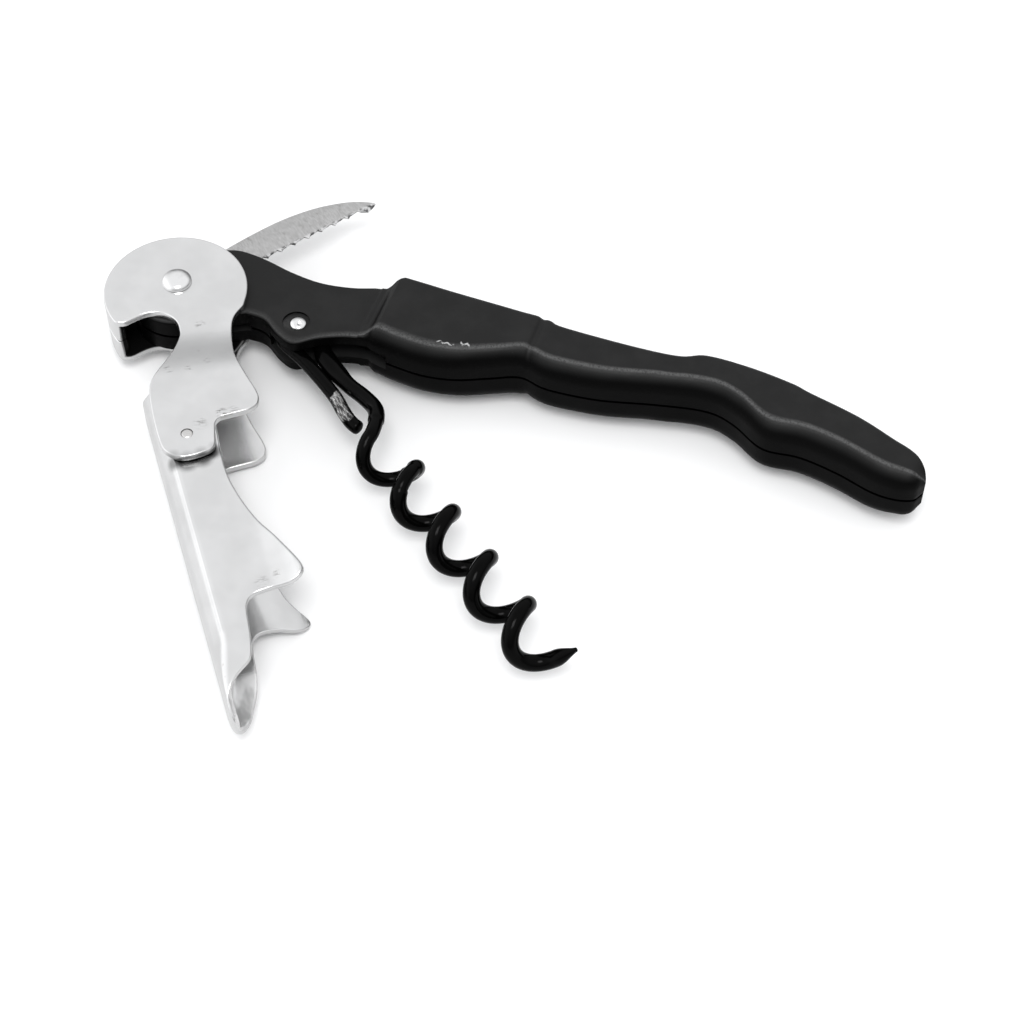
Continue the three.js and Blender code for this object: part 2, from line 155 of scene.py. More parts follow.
def arc(centre, radius, start_degrees, end_degrees, step_degrees=4):
    sweep = end_degrees - start_degrees
    steps = math.ceil(abs(sweep) / step_degrees)
    angles = [math.radians(start_degrees + sweep * step / steps) for step in range(steps + 1)]
    return [
        Vector((centre[0] + radius * math.cos(angle), centre[1] + radius * math.sin(angle)))
        for angle in angles
    ]


def circle(centre, radius, step_degrees=8):
    return arc(centre, radius, 0, 360 - step_degrees, step_degrees)


def evenly_spaced(points, spacing, closed=True):
    """The same line with its points at equal distances."""
    line = points + [points[0]] if closed else points
    lengths = [(b - a).length for a, b in zip(line, line[1:])]
    total = sum(lengths)
    count = max(3, round(total / spacing))
    result = []
    segment = 0
    passed = 0.0
    for index in range(count if closed else count + 1):
        distance = min(total * index / count, total - 1e-9)
        while passed + lengths[segment] < distance:
            passed += lengths[segment]
            segment += 1
        share = (distance - passed) / lengths[segment]
        result.append(line[segment].lerp(line[segment + 1], share))
    return result


def softened(outline, passes=2):
    """A closed outline with its corners slightly rounded."""
    for _ in range(passes):
        outline = [
            outline[index - 1] * 0.25 + point * 0.5 + outline[(index + 1) % len(outline)] * 0.25
            for index, point in enumerate(outline)
        ]
    return outline


def inward_normals(outline):
    """Unit vectors that point into a counter-clockwise outline."""
    normals = []
    for index in range(len(outline)):
        along = outline[(index + 1) % len(outline)] - outline[index - 1]
        normals.append(Vector((-along.y, along.x)).normalized())
    return normals


def counter_clockwise(outline):
    area = sum(a.x * b.y - a.y * b.x for a, b in zip(outline, outline[1:] + outline[:1]))
    return outline if area > 0 else outline[::-1]


def height_along(points, x):
    """The y of a line of points, sorted by x, at the given x."""
    if x <= points[0].x:
        return points[0].y
    for a, b in zip(points, points[1:]):
        if a.x <= x <= b.x and b.x > a.x:
            return a.y + (b.y - a.y) * (x - a.x) / (b.x - a.x)
    return points[-1].y


# -------- mesh helpers


def add_object(name, shape):
    """Turns a bmesh in millimetres into an object in metres."""
    bmesh.ops.recalc_face_normals(shape, faces=shape.faces)
    mesh = bpy.data.meshes.new(name)
    shape.to_mesh(mesh)
    shape.free()
    mesh.transform(Matrix.Scale(MM, 4))
    piece = bpy.data.objects.new(name, mesh)
    bpy.context.scene.collection.objects.link(piece)
    return piece


def shade(piece, sharp_degrees=38):
    """Smooth shading that stays flat on flat faces and breaks at real edges."""
    for face in piece.data.polygons:
        face.use_smooth = True
    piece.data.set_sharp_from_angle(angle=math.radians(sharp_degrees))
    weighted = piece.modifiers.new("weighted_normals", "WEIGHTED_NORMAL")
    weighted.keep_sharp = True
    weighted.weight = 100


def place(shape, pivot, degrees):
    shape.transform(Matrix.Translation(pivot) @ Matrix.Rotation(math.radians(degrees), 4, "Z"))


def cut(piece, cutters):
    """Takes the cutters out of a piece for good."""
    for tool in cutters:
        modifier = piece.modifiers.new("cut", "BOOLEAN")
        modifier.operation = "DIFFERENCE"
        modifier.solver = "EXACT"
        modifier.object = tool
    bpy.context.view_layer.update()
    evaluated = piece.evaluated_get(bpy.context.evaluated_depsgraph_get())
    mesh = bpy.data.meshes.new_from_object(evaluated)
    piece.modifiers.clear()
    piece.data = mesh
    for tool in cutters:
        bpy.data.objects.remove(tool)


def ring_of(shape, points):
    return [shape.verts.new(point) for point in points]


def skin(shape, rings):
    """Quads between closed rings of equal length."""
    for lower, upper in zip(rings, rings[1:]):
        for index in range(len(lower)):
            after = (index + 1) % len(lower)
            shape.faces.new((lower[index], lower[after], upper[after], upper[index]))


def cutter(outline, bottom, top):
    """A plain upright block with the given outline, to cut a slot or a bore with."""
    shape = bmesh.new()
    rings = [ring_of(shape, [(p[0], p[1], z) for p in outline]) for z in (bottom, top)]
    skin(shape, rings)
    shape.faces.new(rings[0][::-1])
    shape.faces.new(rings[1])
    return add_object("cutter", shape)


def turned(profile, sides=64):
    """A solid of revolution about the z axis; the profile runs [radius, z] from bottom to top."""
    shape = bmesh.new()
    foot = shape.verts.new((0, 0, profile[0][1]))
    crown = shape.verts.new((0, 0, profile[-1][1]))
    rings = []
    for radius, z in profile:
        if radius > 0:
            angles = [2 * math.pi * side / sides for side in range(sides)]
            ring = [(radius * math.cos(angle), radius * math.sin(angle), z) for angle in angles]
            rings.append(ring_of(shape, ring))
    skin(shape, rings)
    for index in range(sides):
        after = (index + 1) % sides
        shape.faces.new((foot, rings[0][after], rings[0][index]))
        shape.faces.new((crown, rings[-1][index], rings[-1][after]))
    return shape


def rounded_rim(thickness, bottom_radius, top_radius, steps=4):
    """(inset, height) pairs from the bottom face over the rim to the top face of a sheet."""
    quarter = quarter_turn(steps)
    bottom = [
        (bottom_radius * (1 - math.sin(a)), bottom_radius * (1 - math.cos(a))) for a in quarter
    ]
    top = [
        (top_radius * (1 - math.cos(a)), thickness - top_radius * (1 - math.sin(a)))
        for a in quarter
    ]
    return bottom + top


def sheet_blank(outline, rim, walls=None):
    """A flat sheet with a rounded rim. walls gives each outline point its own rim, or None."""
    normals = inward_normals(outline)
    shape = bmesh.new()
    rings = []
    for level in range(len(rim)):
        points = []
        for index, point in enumerate(outline):
            own = walls[index] if walls and walls[index] else None
            inset, height = own["rim"][level] if own else rim[level]
            inward = own["inward"] if own else normals[index]
            spot = point + inward * inset
            points.append((spot.x, spot.y, height))
        rings.append(ring_of(shape, points))
    skin(shape, rings)
    shape.faces.new(rings[0][::-1])
    shape.faces.new(rings[-1])
    return shape


def slice_across(shape, axis, positions):
    """Adds edges where the planes axis = position cross the shape, so that it can bend there."""
    normal = Vector((0, 0, 0))
    normal[axis] = 1
    for position in positions:
        bmesh.ops.bisect_plane(
            shape,
            geom=shape.verts[:] + shape.edges[:] + shape.faces[:],
            plane_co=normal * position,
            plane_no=normal,
            dist=1e-4,
        )


def steps_between(low, high, step):
    count = round((high - low) / step)
    return [low + (high - low) * index / count for index in range(count + 1)]


# -------- material helpers


class Shader:
    """Short calls for building the nodes of one material or world."""

    def __init__(self, owner, coordinates="Object"):
        owner.use_nodes = True
        self.owner = owner
        self.tree = owner.node_tree
        self.position = self.add("ShaderNodeTexCoord").outputs[coordinates]

    def fill(self, node, inputs):
        """Gives inputs their values, and links those whose value is another node's output."""
        for key, value in inputs.items():
            if isinstance(value, bpy.types.NodeSocket):
                self.tree.links.new(value, node.inputs[key])
            else:
                node.inputs[key].default_value = value

    def add(self, kind, inputs=None, **settings):
        node = self.tree.nodes.new(kind)
        for name, value in settings.items():
            setattr(node, name, value)
        self.fill(node, inputs or {})
        return node

    def math(self, operation, first, second=0.0, clamp=False):
        values = {0: first, 1: second}
        return self.add("ShaderNodeMath", values, operation=operation, use_clamp=clamp).outputs[0]

    def times(self, first, second):
        return self.math("MULTIPLY", first, second)

    def ramp(self, value, low, high, to_low=0.0, to_high=1.0):
        """to_low up to low, to_high from high on, with a smooth change between them."""
        span = {"Value": value, "From Min": low, "From Max": high, "To Min": to_low, "To Max": to_high}
        node = self.add("ShaderNodeMapRange", span, interpolation_type="SMOOTHSTEP")
        return node.outputs["Result"]

    def fade(self, value, low, high):
        """1 up to low, falling to 0 at high."""
        return self.ramp(value, low, high, 1.0, 0.0)

    def part_of(self, vector, axis):
        return self.add("ShaderNodeSeparateXYZ", {"Vector": vector}).outputs[axis]

    def facing(self, axis):
        """How far the surface faces along an axis, from -1 to 1."""
        return self.part_of(self.add("ShaderNodeNewGeometry").outputs["Normal"], axis)

    def stretched(self, scale, degrees):
        """Object coordinates in a frame whose x runs at the given angle, scaled per axis."""
        turned_frame = {
            "Vector": self.position,
            "Rotation": (0, 0, math.radians(degrees)),
            "Scale": [1 / factor for factor in scale],
        }
        return self.add("ShaderNodeMapping", turned_frame, vector_type="TEXTURE").outputs["Vector"]

    def noise(self, size_mm, detail=3.0, roughness=0.5, vector=None, distortion=0.0):
        """Noise whose blotches are about size_mm across."""
        pattern = {
            "Vector": vector or self.position,
            "Scale": 1 / (size_mm * MM),
            "Detail": detail,
            "Roughness": roughness,
            "Distortion": distortion,
        }
        return self.add("ShaderNodeTexNoise", pattern).outputs["Fac"]

    def mix(self, share, first, second):
        colours = {"Factor": share, "A": first, "B": second}
        return self.add("ShaderNodeMix", colours, data_type="RGBA").outputs["Result"]

    def vector_math(self, operation, first, second):
        return self.add("ShaderNodeVectorMath", {0: first, 1: second}, operation=operation).outputs

    def spot(self, centre_mm, radius_mm):
        """1 at a point of the CAD frame, fading to 0 at the radius."""
        away = self.vector_math("DISTANCE", self.position, Vector(centre_mm) * MM)["Value"]
        return self.fade(away, 0.3 * radius_mm * MM, radius_mm * MM)

    def along(self, axis, origin_mm=0.0):
        """Signed distance in metres from a plane across an axis of the CAD frame."""
        return self.math("SUBTRACT", self.part_of(self.position, axis), origin_mm * MM)

    def toward(self, direction):
        """Distance in metres from the origin along a direction of the CAD frame."""
        return self.vector_math("DOT_PRODUCT", self.position, direction)["Value"]

    def squiggle(self, centre_mm, length_mm, wave_mm, width_mm):
        """1 on a thin wavy line that runs along x on an upward face."""
        pitch = 1.1 * MM
        x = self.along("X", centre_mm[0])
        phase = self.times(x, 2 * math.pi / pitch)
        wave = self.times(self.math("SINE", phase), wave_mm * MM)
        off = self.math("ABSOLUTE", self.math("SUBTRACT", self.along("Y", centre_mm[1]), wave))
        line = self.fade(off, 0.3 * width_mm * MM, width_mm * MM)
        reach = self.math("ABSOLUTE", x)
        ends = self.fade(reach, 0.35 * length_mm * MM, 0.5 * length_mm * MM)
        above = self.ramp(self.along("Z", MID), 0.0, 1.0 * MM)
        return self.times(self.times(line, ends), above)

    def bump(self, height, strength, distance_mm, normal=None):
        relief = {"Height": height, "Strength": strength, "Distance": distance_mm * MM}
        if normal:
            relief["Normal"] = normal
        return self.add("ShaderNodeBump", relief).outputs["Normal"]

    def finish(self, colour, roughness, normal=None, metallic=0.0, specular=0.5):
        """Sets the surface and gives back the finished material."""
        looks = {"Base Color": colour, "Roughness": roughness, "Metallic": metallic}
        looks["Specular IOR Level"] = specular
        if normal:
            looks["Normal"] = normal
        self.fill(self.tree.nodes["Principled BSDF"], looks)
        return self.owner


def new_material(name):
    return Shader(bpy.data.materials.new(name))


def grey(level, warmth=0.0):
    return (level * (1 + warmth), level, level * (1 - warmth), 1)


def in_part_frame(local, pivot, degrees):
    """A point of a turned piece's own frame as a point of the CAD frame."""
    turn = Matrix.Rotation(math.radians(degrees), 4, "Z")
    return pivot + turn @ Vector(local)


# -------- materials


def in_first_lever(x, y, z):
    return in_part_frame((x, y, z), MAIN_PIVOT, FIRST_ANGLE)


def in_second_lever(x, y, z):
    return in_part_frame((x, y, z), LEVER_JOINT, SECOND_ANGLE)


def black_grip_material():
    """Satin moulded plastic: flat faces painted lighter than the upright walls as painted light, fine
    grain, rubbed rims that also carry a painted highlight line, a seam painted black as painted shade,
    a few chips.
    """
    s = new_material("black_grip")
    mottle = s.noise(5.0, detail=5, roughness=0.6)
    grain = s.noise(0.35, detail=3)
    swirl = s.noise(1.6, detail=2, distortion=1.5)
    # The attribute read here marks rubbed rims and also paints the rim's highlight line a lighter
    # grey: partly real rubbing, partly painted highlight.
    wear_and_highlight = s.add("ShaderNodeAttribute", attribute_name="wear_and_highlight").outputs["Fac"]
    broken = s.ramp(s.noise(0.28, detail=4, roughness=0.7), 0.2, 0.62)
    worn_and_highlit = s.times(wear_and_highlight, broken)
    scuff = s.math(
        "MAXIMUM",
        s.squiggle((42.1, 0.95), 2.9, 0.14, 0.2),
        s.squiggle((44.9, 1.65), 1.7, 0.2, 0.28),
    )
    chip = s.times(scuff, s.ramp(s.noise(0.4, detail=2), 0.34, 0.5))
    # The seam between the shells is painted black and kept from shining: painted shade in the gap.
    seam = s.fade(s.math("ABSOLUTE", s.along("Z", MID)), 0.16 * MM, 0.3 * MM)
    # Flat faces are painted lighter than the upright walls: painted light over the plastic's own
    # mottled tone.
    flat = s.ramp(s.math("ABSOLUTE", s.facing("Z")), 0.45, 0.97)
    painted_lit_top = s.mix(s.ramp(mottle, 0.35, 0.7), grey(0.012), grey(0.0165))
    base = s.mix(flat, grey(0.0012), painted_lit_top)
    base = s.mix(s.times(worn_and_highlit, 0.85), base, grey(0.1))
    base = s.mix(chip, base, grey(0.42))
    colour = s.mix(seam, base, grey(0.0))
    roughness = s.math("ADD", s.ramp(mottle, 0.3, 0.7, 0.4, 0.52), s.times(worn_and_highlit, 0.1))
    relief = s.bump(grain, 0.25, 0.03)
    relief = s.bump(swirl, 0.12, 0.12, relief)
    shine = s.times(s.ramp(flat, 0.0, 1.0, 0.05, 0.13), s.fade(seam, 0.0, 1.0))
    return s.finish(colour, roughness, relief, specular=shine)


def inside_hook(s):
    """1 on the inner sides of the first lever's head and of its hook wall, where painted shade goes.
    """
    flattened = s.vector_math("MULTIPLY", s.position, (1, 1, 0))["Vector"]
    centre = in_first_lever(HEAD_CENTRE.x, HEAD_CENTRE.y, 0) * MM
    from_head = s.vector_math("DISTANCE", flattened, (centre.x, centre.y, 0))["Value"]
    wall = (HEAD_RADIUS - SHEET) * MM
    inner = s.fade(from_head, wall + 0.4 * MM, wall + 0.9 * MM)
    off_middle = s.math("ABSOLUTE", s.along("Z", MID))
    inner_face = HEAD_INNER * MM
    between = s.fade(off_middle, inner_face + 0.05 * MM, inner_face + 0.25 * MM)
    return s.times(inner, between)


def nickel_material(name, marks, shadows):
    """Bright plate on stamped steel: soft scratches, small brownish pits and rubbed marks."""
    s = new_material(name)
    cloud = s.noise(6.0, detail=4)
    satin = s.noise(2.4, detail=5, roughness=0.6)
    scratches = s.noise(1.0, detail=4, roughness=0.7, vector=s.stretched((1, 12, 1), -20))
    cross = s.noise(1.0, detail=4, roughness=0.7, vector=s.stretched((1, 14, 1), 50))
    pits = s.ramp(s.noise(0.75, detail=2, roughness=0.5), 0.735, 0.76)
    patches = s.ramp(s.noise(4.5, detail=1), 0.55, 0.66)
    pitted = s.times(pits, patches)
    colour = s.mix(s.ramp(cloud, 0.3, 0.7), grey(0.70), grey(0.76))
    colour = s.mix(s.times(pitted, 0.75), colour, (0.22, 0.19, 0.16, 1))
    rubbed = s.ramp(
        s.noise(1.3, detail=5, roughness=0.75, vector=s.stretched((1, 3.2, 1), 25)), 0.48, 0.58
    )
    for centre, radius, darkness in marks:
        share = s.times(s.times(s.spot(centre, radius), rubbed), darkness)
        colour = s.mix(share, colour, (0.17, 0.165, 0.155, 1))
    for centre, radius, darkness in shadows:
        colour = s.mix(s.times(s.spot(centre, radius), darkness), colour, grey(0.1))
    # The inner sides of the hook are painted near black, with less metal and shine: painted shade.
    painted_hook_shade = inside_hook(s)
    colour = s.mix(painted_hook_shade, colour, grey(0.004))
    # Inside the spoon the nickel is painted lighter and made less metallic so that it looks lit:
    # painted light.
    spoon_light_streaks = s.noise(5.0, detail=2, vector=s.stretched((1, 2.5, 2.5), SECOND_ANGLE))
    inner = s.add("ShaderNodeAttribute", attribute_name="spoon").outputs["Fac"]
    colour = s.mix(inner, colour, s.mix(s.ramp(spoon_light_streaks, 0.35, 0.6), grey(0.5), grey(0.98)))
    roughness = s.ramp(satin, 0.3, 0.75, 0.2, 0.26)
    relief = s.bump(scratches, 0.06, 0.01)
    relief = s.bump(cross, 0.05, 0.01, relief)
    metallic = s.math("SUBTRACT", s.ramp(inner, 0.0, 1.0, 1.0, 0.25), painted_hook_shade, clamp=True)
    shine = s.ramp(painted_hook_shade, 0.0, 1.0, 0.5, 0.03)
    return s.finish(colour, roughness, relief, metallic, shine)


def rivet_material():
    """Polished steel with hammered dents, painted darker where it faces away from the camera: a
    painted reflection.
    """
    s = new_material("rivet_steel")
    dents = s.noise(1.3, detail=2)
    fine = s.noise(0.2, detail=3)
    # The side facing away from the camera is painted darker: a painted dark reflection.
    turned_away = s.math("ADD", s.facing("Y"), s.times(dents, 0.5))
    colour = s.mix(s.ramp(turned_away, 0.3, 0.75), grey(0.84), grey(0.3))
    relief = s.bump(dents, 0.2, 0.1)
    return s.finish(colour, s.ramp(fine, 0.3, 0.7, 0.07, 0.15), relief, metallic=1.0)


def pin_material():
    s = new_material("pin_steel")
    ground = s.noise(0.6, detail=4, vector=s.stretched((1, 15, 1), 20))
    colour = s.mix(ground, grey(0.55, 0.02), grey(0.74, 0.01))
    return s.finish(colour, s.ramp(ground, 0.3, 0.7, 0.22, 0.36), s.bump(ground, 0.2, 0.02), 1.0)


def blade_material():
    """Blade steel ground across its width, duller and darker than the plate."""
    s = new_material("blade_steel")
    grind = s.noise(0.9, detail=6, roughness=0.75, vector=s.stretched((9, 1, 1), KNIFE_ANGLE))
    blotch = s.noise(3.0, detail=4)
    stain = s.ramp(s.noise(1.4, detail=4, distortion=0.6), 0.62, 0.72)
    colour = s.mix(s.ramp(grind, 0.3, 0.7), grey(0.36, 0.01), grey(0.60, 0.005))
    colour = s.mix(s.times(stain, 0.35), colour, grey(0.2, 0.05))
    turn = math.radians(KNIFE_ANGLE)
    lengthwise = s.toward((math.cos(turn), math.sin(turn), 0))
    crosswise = s.toward((-math.sin(turn), math.cos(turn), 0))
    # Along the toothed edge the steel is painted with bright glints and dark reflections: painted
    # highlights and painted reflections.
    edge_glint_band = s.fade(crosswise, 0.35 * MM, 0.85 * MM)
    beside_teeth = s.ramp(lengthwise, (TEETH_START - 0.5) * MM, (TEETH_START + 0.5) * MM)
    edge_glint_band = s.times(edge_glint_band, beside_teeth)
    glint = s.ramp(s.noise(0.9, detail=2), 0.4, 0.56)
    colour = s.mix(edge_glint_band, colour, s.mix(glint, grey(0.09), grey(0.7)))
    roughness = s.ramp(blotch, 0.3, 0.7, 0.3, 0.46)
    return s.finish(colour, roughness, s.bump(grind, 0.4, 0.03), metallic=1.0)


def coated_wire_material():
    """Gloss black coating with slight ripples, rubbed through to steel near the tail's end."""
    s = new_material("coated_wire")
    ripple = s.noise(2.2, detail=3)
    fine = s.noise(0.35, detail=3)
    zone = s.math(
        "MAXIMUM",
        s.spot(in_part_frame((14.4, -1.5, 1.2), WORM_PIN, WORM_ANGLE), 2.5),
        s.spot(in_part_frame((16.7, -2.2, 1.2), WORM_PIN, WORM_ANGLE), 2.5),
    )
    chips = s.noise(1.0, detail=5, roughness=0.75)
    bare = s.ramp(s.math("ADD", zone, s.times(chips, 1.3)), 1.1, 1.2)
    streaks = s.noise(1.2, detail=5, roughness=0.7, vector=s.stretched((1, 4, 4), WORM_ANGLE))
    steel = s.mix(s.ramp(streaks, 0.42, 0.66), grey(0.04), grey(0.55, 0.01))
    colour = s.mix(bare, grey(0.0008), steel)
    gloss = s.ramp(fine, 0.3, 0.7, 0.12, 0.2)
    roughness = s.math("ADD", gloss, s.times(bare, 0.08))
    relief = s.bump(ripple, 0.2, 0.15)
    relief = s.bump(chips, 0.15, 0.05, relief)
    return s.finish(colour, roughness, relief, metallic=bare, specular=0.06)


def floor_material():
    """Pale table; the object sees it darker than the camera does, as under a studio light."""
    s = new_material("pale_floor")
    speckle = s.noise(40.0, detail=3)
    s.finish(s.mix(speckle, grey(0.96), grey(0.98)), 0.9, specular=0.0)
    path = s.add("ShaderNodeLightPath").outputs
    dimmed = s.mix(path["Is Glossy Ray"], grey(0.4), grey(0.7))
    dim = s.add("ShaderNodeBsdfDiffuse", {"Color": dimmed}).outputs["BSDF"]
    bright = s.tree.nodes["Principled BSDF"].outputs["BSDF"]
    blend = s.add("ShaderNodeMixShader", {"Fac": path["Is Camera Ray"], 1: dim, 2: bright})
    s.fill(s.tree.nodes["Material Output"], {"Surface": blend.outputs["Shader"]})
    return s.owner


def marks_on(lever, height, *marks):
    """Marks given as (x, y, radius, darkness) in a lever's own frame, placed in the CAD frame."""
    return [(lever(x, y, height), radius, darkness) for x, y, radius, darkness in marks]


BLACK_GRIP = black_grip_material()
NICKEL = nickel_material(
    "nickel_plate",
    marks=marks_on(
        in_first_lever, JOINT_INNER + SHEET,
        (28.0, 5.0, 1.2, 0.9), (28.0, 6.8, 1.3, 0.6), (29.5, 1.9, 1.3, 0.5),
        (18.6, -1.9, 1.0, 0.6), (18.9, 1.0, 0.9, 0.4), (17.5, 3.7, 0.9, 0.5),
    )
    + marks_on(in_first_lever, HEAD_INNER + SHEET, (8.9, 2.9, 1.0, 0.5))
    + marks_on(in_second_lever, CHANNEL_HALF + 0.7, (26.6, 6.2, 1.4, 0.4))
    + marks_on(in_second_lever, CHANNEL_HALF + 1.3, (26.0, 8.3, 1.1, 0.8)),
    shadows=marks_on(
        in_second_lever, CHANNEL_HALF,
        (3.5, -2.4, 1.9, 0.75), (4.2, -0.6, 2.0, 0.75), (3.9, 1.5, 2.0, 0.75), (3.0, 3.3, 1.7, 0.75),
    ),
)
RIVET_STEEL = rivet_material()
PIN_STEEL = pin_material()
BLADE_STEEL = blade_material()
COATED_WIRE = coated_wire_material()


def finish_piece(piece, material, body, slot, *nodes):
    """Gives a piece its material, ties it to its CAD body and hides its CAD nodes; slot is not used.
    """
    piece.data.materials.clear()
    piece.data.materials.append(material)
    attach(piece, body)
    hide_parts(*nodes)


# -------- handle


def neck_front():
    """Front edge of the handle from the knuckle to the shoulder."""
    return arc((0, 0), KNUCKLE_RADIUS, 180, 318) + spline(
        (11.5, -1.4), (14.5, -1.7), (17.5, -3.8), (20.3, -4.7), (23.4, -2.6), (27, -1.0), (30.2, -0.4)
    )


def neck_back():
    knuckle = corners((-KNUCKLE_RADIUS, 0), (-6.4, 3.4), (-4.4, 5.7))
    return knuckle + spline(
        (-2.0, 6.95), (0.5, 7.8), (3.0, 9.2), (5.4, 10.1), (8.0, 10.05), (10.6, 9.6), (15, 8.5),
        (19.7, 8.0), (24.5, 8.6), (28.0, 9.7), (29.6, 9.9), (30.6, 10.6), (32, 11.5),
    )


def grip_front():
    return spline(
        (31.2, -0.9), (35, -1.6), (39.5, -1.9), (44.3, -1.1), (49, 0.8), (53.2, 2.4),
        (57.5, 1.5), (65, 2.0), (73, 3.8), (80.6, 5.0), (85, 3.9), (90, 1.0),
        (95.5, 1.2), (101, 0.2), (106.5, -1.5), (110, -1.75), (112.4, -1.1),
        (HANDLE_END_X - 0.4, 0.0), (HANDLE_END_X, 0.7),
    )


def grip_back():
    return spline(
        (32, 11.5), (43, 11.0), (54, 10.5), (57, 9.8), (66, 9.6), (74.5, 9.9), (78.6, 11.35),
        (85, 11.25), (91.5, 10.3), (94.5, 9.4), (101.8, 7.45), (107.5, 5.2), (110.4, 4.2),
        (112.7, 2.7), (HANDLE_END_X - 0.2, 1.6), (HANDLE_END_X, 0.7),
    )


HANDLE_FRONT = neck_front() + grip_front()
HANDLE_BACK = neck_back() + grip_back()


def shoulder_height(x):
    """Half thickness of the handle: neck, two-step shoulder, grip, and the sloping end."""
    profile = corners(
        (SHOULDER_X - 0.9, NECK_HALF),
        (SHOULDER_X - 0.55, NECK_HALF + 0.28),
        (SHOULDER_X + 0.1, NECK_HALF + 0.34),
        (SHOULDER_X + 0.75, NECK_HALF + 0.85),
        (SHOULDER_X + 1.35, NECK_HALF + 1.65),
        (SHOULDER_X + 1.9, GRIP_HALF - 0.1),
        (SHOULDER_X + 2.9, GRIP_HALF),
    )
    height = height_along(profile, x)
    crease = 0.3 * math.exp(-(((x - CREASE_X) / 0.55) ** 2))
    rise = smoothstep(CREASE_X - 3.5, CREASE_X - 0.8, x)
    swell = 0.12 * rise * (1 - smoothstep(CREASE_X - 0.8, CREASE_X + 0.2, x))
    slope_start = HANDLE_END_X - 9
    if x > slope_start:
        share = (x - slope_start) / (HANDLE_END_X - slope_start)
        height -= 0.75 * share**1.6 + 2.2 * max(0.0, (share - 0.7) / 0.3) ** 2.6
    return height - crease + swell


def front_rim(x):
    """(inset, drop, last angle) of the front rim: small on the neck, a leaning wall on the grip."""
    grip = smoothstep(SHOULDER_X - 0.6, SHOULDER_X + 2.4, x)
    return 0.45 + 1.5 * grip, 0.45 + 2.45 * grip, math.radians(90 - 26 * grip)


def back_rim_radius(x):
    return 0.45 + 0.25 * smoothstep(SHOULDER_X, SHOULDER_X + 3.5, x)


def handle_stations():
    """Places along the handle, closer together at the round ends, the shoulder and the crease."""
    knuckle = [-KNUCKLE_RADIUS * math.cos(math.pi / 2 * k / 14) for k in range(1, 15)]
    end_length = 3.2
    end = [
        HANDLE_END_X - end_length * (1 - math.sin(math.pi / 2 * k / 16)) for k in range(16)
    ]
    body = steps_between(0.6, SHOULDER_X - 1.2, 0.6)
    body += steps_between(SHOULDER_X - 1.0, SHOULDER_X + 3.4, 0.15)
    body += steps_between(SHOULDER_X + 3.8, CREASE_X - 1.6, 0.55)
    body += steps_between(CREASE_X - 1.4, CREASE_X + 1.6, 0.15)
    body += steps_between(CREASE_X + 2, HANDLE_END_X - end_length - 0.5, 0.55)
    return knuckle + body + end + [HANDLE_END_X - 0.004]


def handle_section(x):
    """Closed section of the upper shell as (y, z, rubbing with painted highlight), front seam first.
    """
    front = height_along(HANDLE_FRONT, x)
    back = height_along(HANDLE_BACK, x)
    height = shoulder_height(x)
    width = max(back - front, 0.02)
    chamfer = min(0.1, 0.2 * width)
    foot = SEAM_HALF + chamfer
    inset, drop, last = front_rim(x)
    end_share = min(width / 6, (height - foot) / 3.4, 1.0)
    inset, drop = inset * end_share, drop * end_share
    back_radius = min(back_rim_radius(x) * end_share, 0.3 * width)
    wall_steps = 3
    rim_steps = 9
    top_steps = 12
    # The third value of each point is rubbing on the rims, which also places the painted highlight
    # line along the front rim's crest.
    section = [(front + chamfer, SEAM_HALF, 0.0)]
    for step in range(wall_steps):
        section.append((front, foot + (height - drop - foot) * step / wall_steps, 0.0))
    for step in range(rim_steps + 1):
        angle = last * step / rim_steps
        y = front + inset * (1 - math.cos(angle)) / (1 - math.cos(last))
        z = height - drop * (1 - math.sin(angle) / math.sin(last))
        section.append((y, z, 0.6 * smoothstep(0.82, 1.0, step / rim_steps)))
    soft = 0.16 * end_share
    section[-1] = (front + inset - soft, height - 0.6 * soft, 0.9)
    section.append((front + inset, height - 0.12 * soft, 1.0))
    top_start = front + inset + soft
    top_end = back - back_radius
    for step in range(top_steps + 1):
        share = step / top_steps
        y = top_start + (top_end - top_start) * share
        sag = 0.1 * math.sin(math.pi * share) * smoothstep(SHOULDER_X + 2, SHOULDER_X + 8, x)
        section.append((y, height - sag, 0.8 * (1 - smoothstep(0.0, 0.04, share))))
    back_steps = 5
    for step in range(1, back_steps + 1):
        angle = math.pi / 2 * step / back_steps
        y = top_end + back_radius * math.sin(angle)
        section.append((y, height - back_radius * (1 - math.cos(angle)), 0.4 * math.sin(2 * angle)))
    for step in range(1, wall_steps + 1):
        share = step / wall_steps
        section.append((back, height - back_radius + (foot - height + back_radius) * share, 0.0))
    section.append((back - chamfer, SEAM_HALF, 0.0))
    for share in (0.25, 0.5, 0.75):
        y = back - chamfer + (front - back + 2 * chamfer) * share
        section.append((y, SEAM_HALF, 0.0))
    return section


def handle_blank(side):
    shape = bmesh.new()
    wear_and_highlight_layer = shape.verts.layers.float.new("wear_and_highlight")
    rings = []
    for x in handle_stations():
        ring = []
        for y, z, wear_and_highlight in handle_section(x):
            wobble = 0.06 * noise.noise(Vector((x / 7, y / 7, z / 7)))
            vertex = shape.verts.new((x, y + wobble, z))
            vertex[wear_and_highlight_layer] = wear_and_highlight * (0.45 + 0.55 * smoothstep(20, SHOULDER_X, x))
            ring.append(vertex)
        rings.append(ring)
    skin(shape, rings)
    shape.faces.new(rings[0])
    shape.faces.new(rings[-1][::-1])
    if side < 0:
        shape.transform(Matrix.Scale(-1, 4, (0, 0, 1)))
        bmesh.ops.reverse_faces(shape, faces=shape.faces)
    shape.transform(Matrix.Translation((0, 0, MID)))
    return shape


